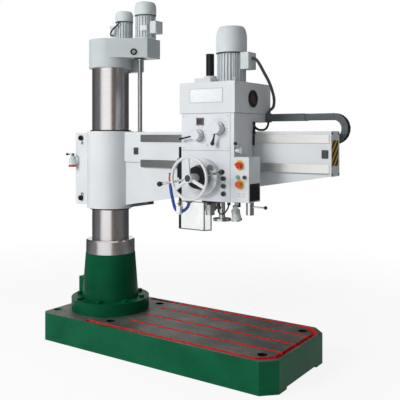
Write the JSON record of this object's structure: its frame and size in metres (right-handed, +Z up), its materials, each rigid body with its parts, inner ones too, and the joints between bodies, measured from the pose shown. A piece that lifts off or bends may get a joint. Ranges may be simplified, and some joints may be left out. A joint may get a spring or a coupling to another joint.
{
  "type": "radial arm drill",
  "caption": "Floor-standing radial drilling machine: T-slotted base, swinging column, screw-lifted arm and a geared drilling head that runs along the arm.",
  "frame": {"origin": "on the floor, under the column's axis", "axes": "+X along the arm, +Y to the back of the machine, +Z up"},
  "size_m": [2.0109, 0.7663, 2.242],
  "materials": {
    "green_enamel": "semi-gloss",
    "white_enamel": "semi-gloss",
    "motor_paint": "satin",
    "ground_steel": "ground",
    "bright_steel": "polished",
    "black_steel": "satin",
    "bronze": "turned",
    "black_plastic": "satin",
    "black_rubber": "matte",
    "red_plastic": "gloss",
    "green_plastic": "gloss",
    "display": "gloss",
    "sight_lens": "gloss",
    "blue_plastic": "satin",
    "clear_plastic": "gloss",
    "light_alloy": "polished"
  },
  "bodies": {
    "base": {"base_plate": "green_enamel", "column_foot": "green_enamel", "foot_bolts": "black_steel", "inner_post": "ground_steel", "junction_box": "green_enamel"},
    "column": {"outer_column": "ground_steel", "bearing_collar": "ground_steel", "column_bearing": "bronze", "column_cap": "white_enamel", "lift_gearbox": "white_enamel", "lift_motor": "motor_paint", "clamp_motor": "motor_paint", "fan_cowls": "motor_paint", "terminal_boxes": "motor_paint", "clamp_motor_cable": "black_rubber"},
    "lift_screw": {"lift_screw": "ground_steel"},
    "arm": {"arm_casting": "white_enamel", "arm_ways": "ground_steel", "traverse_rack": "ground_steel", "arm_end_plate": "white_enamel", "lift_nut": "bronze", "sleeve_wipers": "black_rubber", "clamp_bolts": "black_steel", "oil_pump": "motor_paint"},
    "pump_lever": {"oil_pump_lever": "black_steel"},
    "chain": {"drag_chain": "black_plastic"},
    "head": {"chain_tail": "black_steel", "head_casting": "white_enamel", "head_cover": "white_enamel", "control_box": "white_enamel", "feed_hub_cover": "white_enamel", "main_motor": "motor_paint", "main_motor_cowl": "motor_paint", "main_motor_box": "motor_paint", "motor_cable": "black_rubber", "spindle_tube": "black_steel", "sight_window": "sight_lens", "speed_display": "display", "work_lamp": "motor_paint", "coolant_pipe": "blue_plastic", "guard_post": "black_steel"},
    "quill": {"quill": "ground_steel"},
    "spindle": {"spindle": "bright_steel"},
    "spindle_gear": {"spindle_gear": "ground_steel"},
    "motor_pinion": {"motor_pinion": "ground_steel"},
    "feed_handle": {"feed_handle": "black_steel"},
    "traverse_wheel": {"traverse_wheel": "light_alloy"},
    "speed_lever": {"speed_lever": "white_enamel"},
    "feed_lever": {"feed_lever": "white_enamel"},
    "head_clamp_lever": {"head_clamp_lever": "bright_steel"},
    "clutch_lever": {"clutch_lever": "bright_steel"},
    "fine_feed_wheel": {"fine_feed_wheel": "bright_steel"},
    "main_switch": {"main_switch": "red_plastic"},
    "emergency_stop": {"emergency_stop": "red_plastic"},
    "start_button": {"start_button": "green_plastic"},
    "stop_button": {"stop_button": "black_plastic"},
    "clamp_button": {"clamp_button": "black_plastic"},
    "release_button": {"release_button": "black_plastic"},
    "coolant_button": {"coolant_button": "black_plastic"},
    "chuck_guard": {"chuck_guard": "clear_plastic"}
  },
  "joints": [
    {"name": "column_swing", "type": "hinge", "parent": "base", "child": "column", "pos_m": [0, 0, 0.6], "axis": [0, 0, 1], "range_deg": [-180, 180]},
    {"name": "screw_turn", "type": "hinge", "parent": "column", "child": "lift_screw", "pos_m": [0.205, 0.067, 1.4], "axis": [0, 0, 1], "range_deg": [-22900, 11800]},
    {"name": "arm_lift", "type": "slide", "parent": "column", "child": "arm", "axis": [0, 0, 1], "range_m": [-0.195, 0.38]},
    {"name": "pump_handle", "type": "hinge", "parent": "arm", "child": "pump_lever", "pos_m": [-0.3, -0.066, 1.215], "axis": [0, 1, 0], "range_deg": [-10, 35]},
    {"name": "chain_follow", "type": "slide", "parent": "arm", "child": "chain", "axis": [1, 0, 0], "range_m": [-0.201, 0.206]},
    {"name": "head_traverse", "type": "slide", "parent": "arm", "child": "head", "axis": [1, 0, 0], "range_m": [-0.4, 0.41]},
    {"name": "wheel_turn", "type": "hinge", "parent": "head", "child": "traverse_wheel", "pos_m": [0.94, -0.4, 1.112], "axis": [0, 1, 0], "range_deg": [-1850, 1900]},
    {"name": "feed_turn", "type": "hinge", "parent": "head", "child": "feed_handle", "pos_m": [0.94, -0.31, 1.112], "axis": [0, 1, 0], "range_deg": [-5, 815]},
    {"name": "quill_feed", "type": "slide", "parent": "head", "child": "quill", "axis": [0, 0, -1], "range_m": [0, 0.27]},
    {"name": "spindle_spin", "type": "hinge", "parent": "quill", "child": "spindle", "pos_m": [0.89, -0.112, 0.9], "axis": [0, 0, 1], "continuous": true},
    {"name": "gear_spin", "type": "hinge", "parent": "head", "child": "spindle_gear", "pos_m": [0.89, -0.112, 1.5], "axis": [0, 0, 1], "continuous": true},
    {"name": "pinion_spin", "type": "hinge", "parent": "head", "child": "motor_pinion", "pos_m": [0.99977, -0.05013, 1.5], "axis": [0, 0, 1], "continuous": true},
    {"name": "speed_select", "type": "hinge", "parent": "head", "child": "speed_lever", "pos_m": [0.9, -0.27, 1.348], "axis": [0, 1, 0], "range_deg": [-60, 60]},
    {"name": "feed_select", "type": "hinge", "parent": "head", "child": "feed_lever", "pos_m": [1.036, -0.27, 1.387], "axis": [0, 1, 0], "range_deg": [-60, 60]},
    {"name": "head_clamp", "type": "hinge", "parent": "head", "child": "head_clamp_lever", "pos_m": [1.155, -0.225, 1.264], "axis": [1, 0, 0], "range_deg": [-40, 40]},
    {"name": "clutch_select", "type": "hinge", "parent": "head", "child": "clutch_lever", "pos_m": [1.193, -0.17, 0.95], "axis": [0, 0, 1], "range_deg": [-35, 35]},
    {"name": "fine_feed", "type": "hinge", "parent": "head", "child": "fine_feed_wheel", "pos_m": [0.997, -0.15, 0.865], "axis": [0, 0, 1], "continuous": true},
    {"name": "main_switch_turn", "type": "hinge", "parent": "head", "child": "main_switch", "pos_m": [1.172, -0.26, 1.183], "axis": [0, 1, 0], "range_deg": [0, 90]},
    {"name": "emergency_press", "type": "slide", "parent": "head", "child": "emergency_stop", "axis": [0, 1, 0], "range_m": [0, 0.004]},
    {"name": "start_press", "type": "slide", "parent": "head", "child": "start_button", "axis": [0, 1, 0], "range_m": [0, 0.003], "stiffness_N_per_m": 800},
    {"name": "stop_press", "type": "slide", "parent": "head", "child": "stop_button", "axis": [0, 1, 0], "range_m": [0, 0.003], "stiffness_N_per_m": 800},
    {"name": "clamp_press", "type": "slide", "parent": "head", "child": "clamp_button", "axis": [0, 1, 0], "range_m": [0, 0.003], "stiffness_N_per_m": 800},
    {"name": "release_press", "type": "slide", "parent": "head", "child": "release_button", "axis": [0, 1, 0], "range_m": [0, 0.003], "stiffness_N_per_m": 800},
    {"name": "coolant_press", "type": "slide", "parent": "head", "child": "coolant_button", "axis": [0, 1, 0], "range_m": [0, 0.003], "stiffness_N_per_m": 800},
    {"name": "guard_slide", "type": "slide", "parent": "head", "child": "chuck_guard", "axis": [0, 0, -1], "range_m": [0, 0.12]}
  ],
  "couplings": [
    {"joint": "screw_turn", "follows": "arm_lift", "rad_per_m": -1047.2},
    {"joint": "chain_follow", "follows": "head_traverse", "ratio": 0.5},
    {"joint": "wheel_turn", "follows": "head_traverse", "rad_per_m": 78.54},
    {"joint": "feed_turn", "follows": "quill_feed", "rad_per_m": 52.36},
    {"joint": "gear_spin", "follows": "spindle_spin", "ratio": 1},
    {"joint": "pinion_spin", "follows": "spindle_spin", "ratio": -2}
  ]
}
